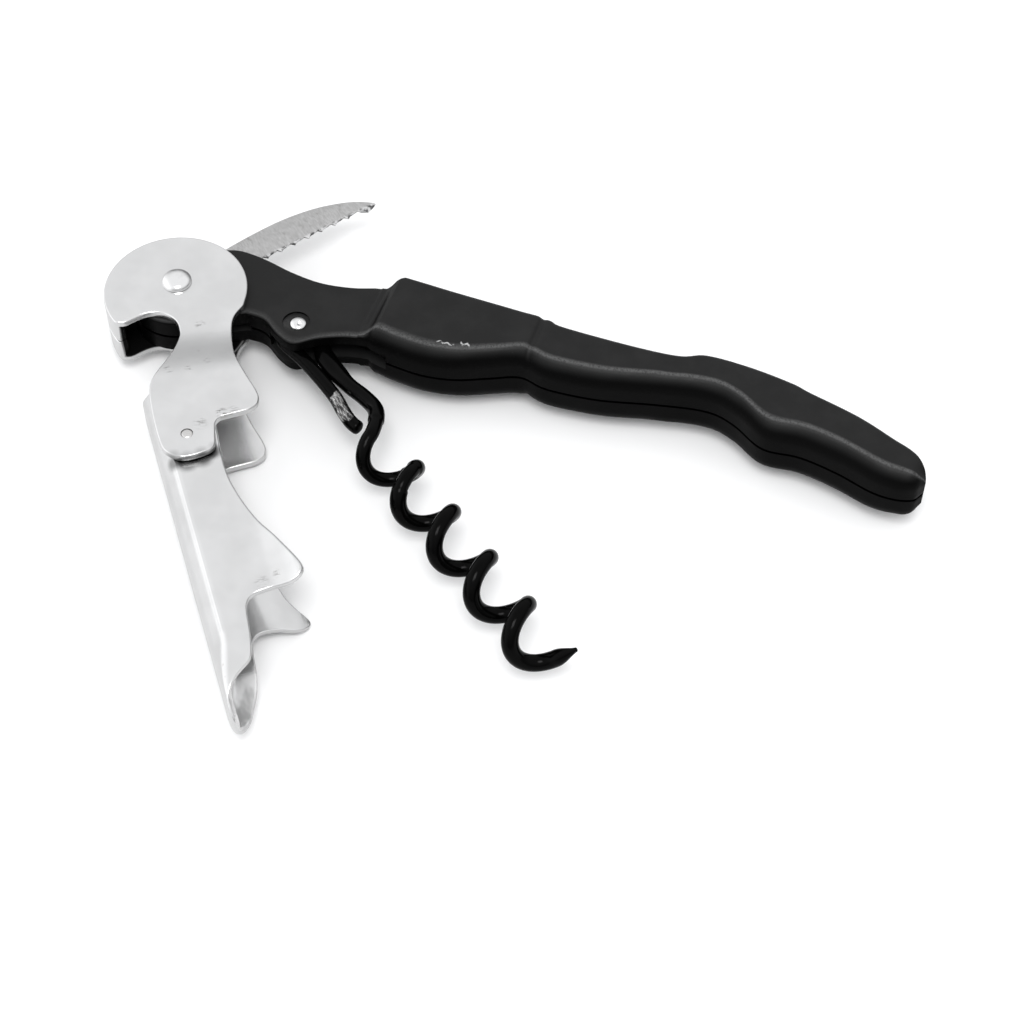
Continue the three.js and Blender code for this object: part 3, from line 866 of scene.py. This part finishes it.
def slot_cutter(outline, half):
    return cutter(outline, MID - half, MID + half)


def knife_slot():
    pocket = [(-9, -6), (8.5, -6), (14.5, 1.6), (36.5, 4.6), (36.5, 14), (-9, 14)]
    return slot_cutter(pocket, BLADE_HALF + CLEARANCE)


def worm_slot():
    """Room for the eye of the worm and for its swing out of the front of the neck."""
    eye = arc(WORM_PIN, 3.9, 200, 40)
    swing = corners((25.8, 1.7), (32, 1.0), (33.5, -0.6), (33.5, -8), (12, -8), (14.5, -4))
    return slot_cutter(eye + swing, WIRE_RADIUS + CLEARANCE)


def pin_recess(side):
    """A shallow round recess for the head of the worm pin."""
    radius = 2.05
    depth = 0.35
    centre = WORM_PIN.to_2d() + Vector((-0.35, 0.1))
    floor = MID + side * (NECK_HALF - depth)
    outside = MID + side * 20
    return cutter(circle(centre, radius, 4), min(floor, outside), max(floor, outside))


def pivot_bore():
    return cutter(circle((0, 0), RIVET_SHAFT + CLEARANCE), 0, 2 * MID)


def handle_shell(side, name, node):
    piece = add_object(name, handle_blank(side))
    cut(piece, [knife_slot(), worm_slot(), pin_recess(side), pivot_bore()])
    shade(piece)
    finish_piece(piece, BLACK_GRIP, "handle", "black_grip", node)


handle_shell(1, "grip_shell_upper", "handle_upper_shell")
handle_shell(-1, "grip_shell_lower", "handle_lower_shell")


# -------- rivets and pins


def mirrored_profile(upper):
    """A bottom-to-top profile from its upper half, given from the crown down."""
    lower = [(radius, -z) for radius, z in upper]
    return lower + upper[::-1]


def main_rivet():
    radius = 2.2
    height = 1.0
    flat = 0.5
    dome = [
        (flat + (radius - flat) * math.sin(a), RIVET_SEAT + 0.06 + height * math.cos(a) ** 0.8)
        for a in quarter_turn(12)
    ]
    foot = [(radius - 0.05, RIVET_SEAT), (RIVET_SHAFT, RIVET_SEAT)]
    shape = turned(mirrored_profile([(0, dome[0][1])] + dome + foot))
    shape.transform(Matrix.Translation(MAIN_PIVOT))
    piece = add_object("main_rivet_domed", shape)
    shade(piece)
    finish_piece(piece, RIVET_STEEL, "handle", "rivet_steel", "main_rivet")


def worm_pin():
    """A small riveted dome, punched off its centre."""
    radius = 1.25
    seat = NECK_HALF - 0.33
    crown = NECK_HALF + 0.42
    edge = seat + 0.2
    dome = [(radius * math.sin(a), edge + (crown - edge) * math.cos(a)) for a in quarter_turn(14)]
    shape = turned(mirrored_profile(dome + [(radius, seat), (1.0, seat)]), sides=96)
    punch = Vector((0.3, -0.25))
    for vertex in shape.verts:
        distance = (vertex.co.to_2d() - punch).length
        if abs(vertex.co.z) > seat + 0.1:
            depth = 0.3 * math.exp(-((distance / 0.3) ** 2))
            vertex.co.z -= math.copysign(depth, vertex.co.z)
    shape.transform(Matrix.Translation(WORM_PIN))
    piece = add_object("worm_pin_domed", shape)
    shade(piece, sharp_degrees=60)
    finish_piece(piece, RIVET_STEEL, "handle", "rivet_steel", "worm_pin")


def joint_pin():
    radius = 0.8
    end = JOINT_INNER + SHEET + 0.03
    upper = [(0, end), (radius - 0.25, end), (radius - 0.1, end - 0.03), (radius, end - 0.13)]
    shape = turned(mirrored_profile(upper), sides=48)
    shape.transform(Matrix.Translation(LEVER_JOINT))
    piece = add_object("joint_pin_ground", shape)
    shade(piece)
    finish_piece(piece, PIN_STEEL, "first_lever", "pin_steel", "lever_joint_pin")


main_rivet()
worm_pin()
joint_pin()

for dowel in ("shell_dowel_front", "shell_dowel_rear"):
    frame["nodes"][dowel].data.materials.clear()
    frame["nodes"][dowel].data.materials.append(PIN_STEEL)


# -------- first lever

HOOK_WALL_START = 234
HOOK_WALL_END = 303
STEP_START = 9.5  # the plates step outwards from here to STEP_END
STEP_END = 20.5


def first_lever_outline():
    hook = spline((7.0, -8.0), (5.8, -5.5), (5.6, -3.4), (6.4, -1.6), (8.1, -0.4), (10.3, -0.1))
    waist = spline(
        (10.3, -0.1), (13, -0.9), (16.5, -2.4), (20.2, -4.4), (22.8, -4.9), (25.4, -4.8),
        (28.6, -4.45), (31.6, -3.95), (33.2, -3.5), (34.1, -2.75), (34.95, -1.5), (35.1, -0.2),
        (34.9, 1.1), (34.45, 2.6), (34.0, 3.4), (33.3, 3.75), (31.9, 3.85),
    )
    tooth = spline(
        (25.5, 10.5), (23.8, 10.0), (21, 8.9), (18, 7.95), (15.5, 7.5), (11, 7.4), (8, 7.9),
        (5.66, 9.7),
    )
    notch = corners((29.4, 4.0), (28.6, 4.6), (28.2, 6.8), (27.8, 8.9), (26.9, 10.2))
    head = arc(HEAD_CENTRE, HEAD_RADIUS, 68, HOOK_WALL_END, 2)
    outline = head[:-1] + hook[:-1] + waist + notch + tooth[:-1]
    return softened(evenly_spaced(counter_clockwise(outline), 0.3))


def hook_wall_rims(outline, rim):
    """The rim runs down to the middle plane along the wall of the cap hook."""
    drop = HEAD_INNER - SEAM_HALF
    bottom_count = len(rim) // 2
    wall = [
        (SHEET, 0.0),
        (SHEET, 0.12 - drop),
        (SHEET - 0.1, -drop),
        (0.1, -drop),
        (0.0, 0.1 - drop),
    ]
    rims = []
    for point in outline:
        spoke = point - HEAD_CENTRE
        angle = math.degrees(math.atan2(spoke.y, spoke.x)) % 360
        on_wall = HOOK_WALL_START < angle < HOOK_WALL_END - 1.0 and spoke.length > HEAD_RADIUS - 0.3
        own = {"rim": wall[:bottom_count] + rim[bottom_count:], "inward": -spoke.normalized()}
        rims.append(own if on_wall else None)
    return rims


def plate_lift(x):
    """Inner height of a plate, from the head to the joint."""
    return HEAD_INNER + (JOINT_INNER - HEAD_INNER) * smoothstep(STEP_START, STEP_END, x)


def joint_bore():
    """The joint pin's bore through both levers, cut from below them to above."""
    margin = 5
    return cutter(circle(LEVER_JOINT, JOINT_BORE), -margin, 2 * MID + margin)


def first_lever_plate(side, name, node):
    outline = first_lever_outline()
    rim = rounded_rim(SHEET, 0.2, 0.27)
    shape = sheet_blank(outline, rim, hook_wall_rims(outline, rim))
    slice_across(shape, 0, steps_between(STEP_START, STEP_END, 0.5))
    for vertex in shape.verts:
        vertex.co.z += plate_lift(vertex.co.x)
    if side < 0:
        shape.transform(Matrix.Scale(-1, 4, (0, 0, 1)))
    place(shape, MAIN_PIVOT, FIRST_ANGLE)
    piece = add_object(name, shape)
    cut(piece, [joint_bore()])
    shade(piece)
    finish_piece(piece, NICKEL, "first_lever", "nickel_plate", node)


first_lever_plate(1, "lever_plate_upper", "first_lever_upper_plate")
first_lever_plate(-1, "lever_plate_lower", "first_lever_lower_plate")


# -------- second lever

# Half of the channel section in Y and Z: back, slanted corner, cheek, then flared fin.
CHANNEL_SECTION = [
    (-4.65, 0), (-4.65, 2.9), (-2.6, CHANNEL_HALF), (3.2, CHANNEL_HALF),
    (5.6, 5.6), (8.2, 6.45), (10.2, 7.4), (12.6, 8.2),
]
# Round the tip the slanted corner gives way to a low upright one.
NOSE_SECTION = [(-4.65, 0), (-4.65, 4.8), (-4.1, CHANNEL_HALF), (12.6, CHANNEL_HALF)]
SECTION_STEP = 0.1
RIDGE_AT = 5.85  # distance from the middle of the back to the raised line beside the cheek


def bent_section(half_section):
    """A section as points SECTION_STEP apart, with its corners bent round."""
    half = corners(*half_section)
    mirrored = [Vector((corner.x, -corner.y)) for corner in half[:0:-1]]
    line = evenly_spaced(mirrored + half, SECTION_STEP, closed=False)
    reach = 5
    for _ in range(2):
        windows = [line[max(i - reach, 0) : i + reach + 1] for i in range(len(line))]
        line = [sum(window, Vector((0, 0))) / len(window) for window in windows]
    return line[len(line) // 2 :]


SECTION = bent_section(CHANNEL_SECTION)
TIP_SECTION = bent_section(NOSE_SECTION)


def section_at(along, nose=0.0):
    """Point (y, z) at a distance from the middle; nose runs from 0 to 1 at the very tip."""
    count = min(len(SECTION), len(TIP_SECTION))
    position = min(along / SECTION_STEP, count - 1.001)
    index = int(position)
    point = SECTION[index].lerp(SECTION[index + 1], position - index)
    if nose > 0:
        tip = TIP_SECTION[index].lerp(TIP_SECTION[index + 1], position - index)
        point = point.lerp(tip, nose)
    return point


def distance_at_y(y, nose=0.0):
    """Distance from the middle of the back to where the side reaches the given y."""
    distance = 2.5
    while section_at(distance, nose).x < y and distance < 20:
        distance += 0.02
    return distance


TILT = Matrix.Rotation(math.radians(CHANNEL_TILT), 2)
NOSE_START = 33.0
NOSE_END = (TILT.transposed() @ Vector((CHANNEL_TIP_X, -0.3))).x
NOSE_STRETCH = (NOSE_END - NOSE_START) / CHANNEL_HALF  # the tip is a blunt half ellipse


def channel_surface(x, along):
    """Outer surface of the channel over its flat blank; past NOSE_START it closes as a bowl."""
    lengthwise = max(x - NOSE_START, 0.0) / NOSE_STRETCH
    distance = math.hypot(lengthwise, along)
    if distance < 1e-6:
        return Vector((x, CHANNEL_SECTION[0][0], 0))
    y, z = section_at(distance, smoothstep(0, 0.8, lengthwise / distance))
    diagonal = 4 * (lengthwise * along / distance**2) ** 2
    plan = z / distance * (1 + 0.07 * diagonal)
    if lengthwise > 0:
        x = NOSE_START + NOSE_STRETCH * plan * lengthwise
    return Vector((x, y, plan * along))


def fold_channel(vertex):
    """Folds a point of the blank (x, distance, height in the sheet) into the channel."""
    x, along, height = vertex.co
    nudge = 0.04
    lengthwise = channel_surface(x + nudge, along) - channel_surface(x - nudge, along)
    crosswise = channel_surface(x, along + nudge) - channel_surface(x, along - nudge)
    outward = lengthwise.cross(crosswise).normalized()
    ridge = 0.11 * math.exp(-(((abs(along) - RIDGE_AT) / 0.17) ** 2))
    ridge *= (height / CHANNEL_SHEET) * (1 - smoothstep(28, 34, x))
    vertex.co = channel_surface(x, along) - outward * (CHANNEL_SHEET - height - ridge)


def channel_rim(side):
    """Rim of one cheek from the tip, over the fin, to the end at the joint."""
    if side > 0:
        spoon = [(44.2, -0.8), (42.2, -0.8), (40.3, 0.2), (38.9, 1.7), (37.7, 3.0)]
        fin = [(24.2, 11.1), (20, 9.2)]
    else:
        spoon = [(44.2, 0.4), (41.8, 1.6), (39.4, 2.4), (37.6, 3.0)]
        fin = [(24.3, 10.2), (22.1, 8.95), (19, 8.05)]
    return spline(
        (CHANNEL_TIP_X, -0.3), *spoon, (34.5, 3.5), (30.8, 3.6), (29.2, 3.9), (28.2, 4.9),
        (27.9, 7.3), (28.1, 9.7), (27.5, 11.3), (26.4, 11.8), *fin, (16, 7.1), (11, 5.3),
        (7, 4.4), (3, 4.1), (-2, 4.1), (-6, 3.2), (-9, 0.4), (-10.5, -3),
    )


def channel_blank_outline():
    """The channel's outline laid flat: x, and distance along the section."""
    flat = []
    for side in (1, -1):
        rim = []
        for point in channel_rim(side):
            x, y = TILT.transposed() @ point
            reach = min(max((x - NOSE_START) / (NOSE_END - NOSE_START), 0.0), 1.0)
            distance = distance_at_y(y, smoothstep(0, 0.8, reach))
            if reach > 0:
                x = NOSE_START + NOSE_STRETCH * distance * reach
                distance *= math.sqrt(1 - reach**2)
            rim.append(Vector((x, side * distance)))
        flat += rim if side > 0 else rim[::-1]
    return softened(evenly_spaced(counter_clockwise(flat), 0.3))


def second_lever():
    shape = sheet_blank(channel_blank_outline(), rounded_rim(CHANNEL_SHEET, 0.22, 0.3))
    bends = steps_between(0.4, 2.0, 0.4) + steps_between(2.15, 6.95, 0.15)
    bends += steps_between(7.3, 21.0, 0.4)
    slice_across(shape, 1, [0] + bends + [-bend for bend in bends])
    slice_across(shape, 0, steps_between(NOSE_START, NOSE_START + 20, 0.5))
    # The spoon layer marks where the nickel material paints the inside of the spoon lighter: painted
    # light.
    spoon = shape.verts.layers.float.new("spoon")
    for vertex in shape.verts:
        inner = 1 - vertex.co.z / CHANNEL_SHEET
        vertex[spoon] = inner * smoothstep(33.5, 37.0, vertex.co.x)
        fold_channel(vertex)
    shape.transform(Matrix.Rotation(math.radians(CHANNEL_TILT), 4, "Z"))
    place(shape, LEVER_JOINT, SECOND_ANGLE)
    piece = add_object("channel_lever", shape)
    cut(piece, [joint_bore()])
    shade(piece)
    finish_piece(piece, NICKEL, "second_lever", "nickel_plate", "second_lever_channel")


second_lever()


# -------- knife


def toothed_edge():
    """Saw teeth that rise slowly towards the point of the blade and drop back sharply."""
    pitch = 2.42
    depth = 0.62
    teeth = 8
    edge = []
    for tooth in range(teeth):
        for share, rise in ((0.0, 0.0), (0.25, 0.62), (0.5, 0.72), (0.82, 1.0), (0.9, 0.55)):
            edge.append(Vector((TEETH_START + (tooth + share) * pitch, depth * rise)))
    return edge


def knife():
    tip = spline(
        (BLADE_LENGTH - 0.1, 0.5), (32.9, 2.0), (29.9, 3.4), (26.5, 4.5), (22, 5.2), (17.3, 5.3),
        (11, 4.9), (5, 4.0),
    )
    heel = corners((10, -1.8), (13.4, -1.1))
    tang = arc((0, 0), 3.6, 100, 285, 6)
    point = corners((32.4, -0.1), (33.2, -0.6), (34.2, -0.25), (BLADE_LENGTH, 0.2))
    outline = tang + heel + toothed_edge() + point + tip[:-1]
    outline = evenly_spaced(counter_clockwise(outline), 0.13)
    shape = sheet_blank(outline, rounded_rim(2 * BLADE_HALF, 0.05, 0.05, steps=2))
    slice_across(shape, 1, steps_between(0.2, 3.2, 0.3))
    slice_across(shape, 0, steps_between(TEETH_START, TEETH_START + 1, 0.5))
    for vertex in shape.verts:
        ground = smoothstep(TEETH_START, TEETH_START + 1.2, vertex.co.x)
        thin = 0.16 + 0.84 * min(max((vertex.co.y + 0.1) / 3.0, 0.0), 1.0)
        share = 1 + (thin - 1) * ground
        vertex.co.z = (vertex.co.z - BLADE_HALF) * share
    place(shape, MAIN_PIVOT, KNIFE_ANGLE)
    piece = add_object("serrated_blade", shape)
    shade(piece, sharp_degrees=25)
    finish_piece(piece, BLADE_STEEL, "knife", "blade_steel", "knife_blade")


knife()


# -------- worm


def helix_point(x):
    phase = 2 * math.pi * (x - HELIX_START_X) / HELIX_PITCH
    return Vector(
        (x, HELIX_AXIS_Y - HELIX_RADIUS * math.sin(phase), HELIX_RADIUS * math.cos(phase))
    )


def wire_path():
    """Centre line of the wire from its tail, round the pin, into the helix and to the point."""
    eye = 1.0 + WIRE_RADIUS + 0.15
    knots = [
        (20.1, -1.75, 0), (18.4, -2.15, 0), (16, -2.05, 0), (13.2, -1.65, 0), (9.5, -1.6, 0),
        (5.5, -1.75, 0), (2.6, -2.05, 0),
    ]
    for degrees in range(270, 89, -20):
        turn = math.radians(degrees)
        knots.append((eye * math.cos(turn), eye * math.sin(turn), 0))
    knots += [
        (2.6, 1.85, 0), (5.5, 1.1, 0), (9, 0.95, 0.05), (12.5, 1.05, 0.35),
        (15.8, 1.55, 0.75), (19, 1.5, 1.3), (21.6, 0.1, 2.25),
    ]
    samples_per_turn = 16
    turns = (HELIX_END_X - HELIX_START_X) / HELIX_PITCH
    count = round(turns * samples_per_turn)
    for index in range(count + 1):
        knots.append(helix_point(HELIX_START_X + turns * HELIX_PITCH * index / count))
    heading = (Vector(knots[-1]) - Vector(knots[-2])).normalized()
    knots.append(Vector(knots[-1]) + heading * 2.8)
    return evenly_spaced(spline(*knots, steps=6), WIRE_STEP, closed=False)


def wire_size(index, count, point):
    """(half width, half thickness) of the wire: pressed flat by the eye, pointed at the end."""
    from_end = (count - 1 - index) * WIRE_STEP
    from_tail = index * WIRE_STEP
    point_share = min(1.0, 0.22 + 0.78 * smoothstep(-0.6, 3.6, from_end))
    tail_share = math.sqrt(max(1 - (1 - min(from_tail / 0.5, 1.0)) ** 2, 0.16))
    flat = smoothstep(3.0, 6.5, point.x) * (1 - smoothstep(8.5, 12.5, point.x))
    radius = WIRE_RADIUS * point_share * tail_share
    if point.y < 0 and index * 2 < count:
        slim = 1 - 0.12 * smoothstep(0.5, 4.0, point.x)
        return radius * slim, radius * slim
    return radius * (1 + 0.26 * flat), radius * (1 - 0.14 * flat)


def worm():
    path = wire_path()
    sides = 28
    shape = bmesh.new()
    rings = []
    count = len(path)
    across = Vector((0, 1, 0))
    for index, point in enumerate(path):
        heading = (path[min(index + 1, count - 1)] - path[max(index - 1, 0)]).normalized()
        across = (across - heading * across.dot(heading)).normalized()
        up = heading.cross(across)
        width, thickness = wire_size(index, count, point)
        ring = []
        for side in range(sides):
            angle = 2 * math.pi * side / sides
            ring.append(point + across * width * math.cos(angle) + up * thickness * math.sin(angle))
        rings.append(ring_of(shape, ring))
    skin(shape, rings)
    shape.faces.new(rings[0])
    shape.faces.new(rings[-1][::-1])
    place(shape, WORM_PIN, WORM_ANGLE)
    piece = add_object("coiled_worm", shape)
    shade(piece, sharp_degrees=60)
    finish_piece(piece, COATED_WIRE, "worm", "coated_wire", "worm")


worm()


# -------- stage, light and camera


def add_floor():
    half = 3.0
    lowest = min(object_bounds()[0].z, 0.0)
    shape = bmesh.new()
    square = [(-half, -half), (half, -half), (half, half), (-half, half)]
    shape.faces.new([shape.verts.new((x / MM, y / MM, lowest / MM)) for x, y in square])
    floor = add_object("floor", shape)
    floor.data.materials.append(floor_material())


CAMERA_PLACE = Vector((122.95, -204.16, 262.41)) * MM
CAMERA_AIM = Vector((58.58, -17.19, 0)) * MM


def aim(thing, spot, target):
    """Puts a camera or a light at a spot, facing a target."""
    thing.location = spot
    thing.rotation_mode = "QUATERNION"
    thing.rotation_quaternion = (target - spot).to_track_quat("-Z", "Y")
    bpy.context.scene.collection.objects.link(thing)


def add_camera():
    data = bpy.data.cameras.new("camera")
    data.sensor_width = 36
    data.lens = 80.86
    data.clip_start = 0.01
    camera = bpy.data.objects.new("camera", data)
    aim(camera, CAMERA_PLACE, CAMERA_AIM)
    bpy.context.scene.camera = camera


def add_softbox(name, spot, target, size, power):
    data = bpy.data.lights.new(name, "AREA")
    data.shape = "RECTANGLE"
    data.size, data.size_y = size
    data.energy = power
    aim(bpy.data.objects.new(name, data), spot, target)


def add_surroundings():
    """A pale room: bright overhead, dimmer near the horizon, with a glow on the camera's left."""
    world = bpy.data.worlds.new("studio")
    bpy.context.scene.world = world
    s = Shader(world, "Generated")
    view = (CAMERA_AIM - CAMERA_PLACE).to_2d()
    turn = (0, 0, math.atan2(view.x, view.y))
    seen = s.add("ShaderNodeMapping", {"Vector": s.position, "Rotation": turn}, vector_type="VECTOR")
    direction = seen.outputs["Vector"]
    overhead = s.ramp(s.part_of(direction, "Z"), 0.0, 0.75, 0.4, 1.0)
    left = s.fade(s.part_of(direction, "X"), -0.9, -0.3)
    camera_ray = s.add("ShaderNodeLightPath").outputs["Is Camera Ray"]
    glow = s.mix(left, overhead, grey(1.45))
    room = {"Color": (0.985, 0.99, 1.0, 1), "Strength": s.mix(camera_ray, glow, grey(1.0))}
    s.fill(s.tree.nodes["Background"], room)


add_floor()
add_camera()
add_surroundings()
centre = (cad_low + cad_high) / 2
add_softbox("key_softbox", centre + Vector((0.08, -0.24, 0.6)), centre, (0.26, 0.26), 1.9)

view_settings = bpy.context.scene.view_settings
view_settings.view_transform = "Standard"
view_settings.look = "None"
